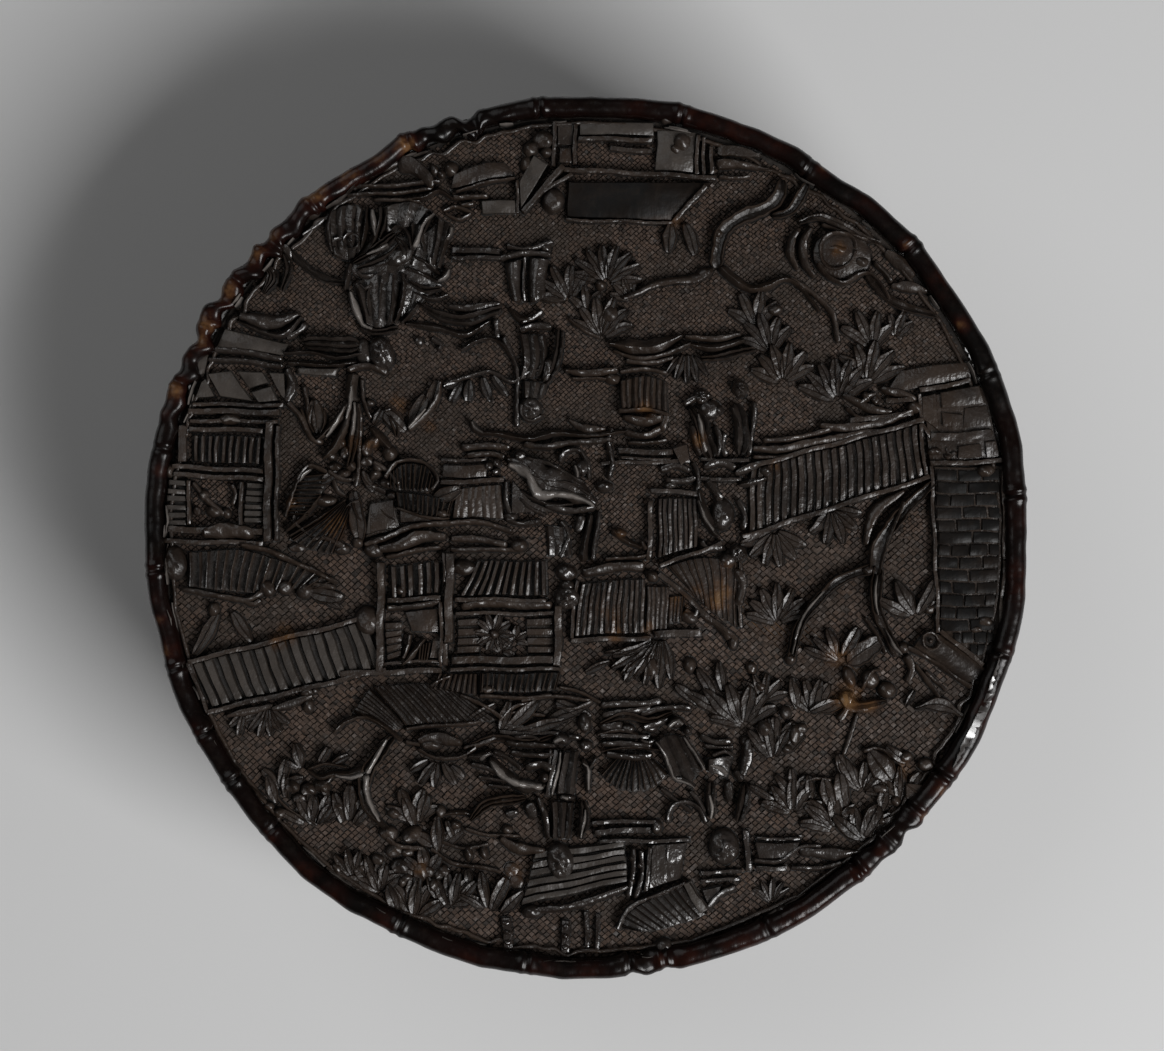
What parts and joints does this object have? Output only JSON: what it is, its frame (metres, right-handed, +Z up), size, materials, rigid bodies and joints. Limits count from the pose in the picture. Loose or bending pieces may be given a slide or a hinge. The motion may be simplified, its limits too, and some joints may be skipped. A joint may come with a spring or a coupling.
{
  "type": "round carved lidded box",
  "caption": "Round carved tortoiseshell box: a lift-off lid with a garden scene in relief and bamboo-shaped edgings slides over an inner collar.",
  "frame": {"origin": "centre of the base, on the surface that the box stands on", "axes": "+Z up, along the way the lid lifts; +X and +Y lie in the plane of the lid's carving, +X to the right of the picture and +Y to its top"},
  "size_m": [0.0884, 0.0884, 0.0302],
  "materials": {
    "carved_shell": "carved tortoiseshell, dark and glossy on the relief, dull brown in the cut-back ground",
    "bamboo_shell": "polished tortoiseshell, near black with a red glow at thin edges",
    "wall_shell": "carved tortoiseshell, dark brown",
    "polished_shell": "plain polished tortoiseshell, mottled brown and amber"
  },
  "bodies": {
    "base": {"base_plate": "polished_shell", "base_wall": "wall_shell", "base_collar": "polished_shell", "base_foot_edging": "bamboo_shell", "base_mouth_edging": "bamboo_shell"},
    "lid": {"lid_wall": "wall_shell", "lid_mouth_edging": "bamboo_shell", "lid_backing_plate": "polished_shell", "lid_carved_plate": "carved_shell", "lid_top_edging": "bamboo_shell"}
  },
  "joints": [
    {"name": "lid_lift", "type": "slide", "parent": "base", "child": "lid", "axis": [0, 0, 1], "range_m": [0, 0.045]}
  ]
}
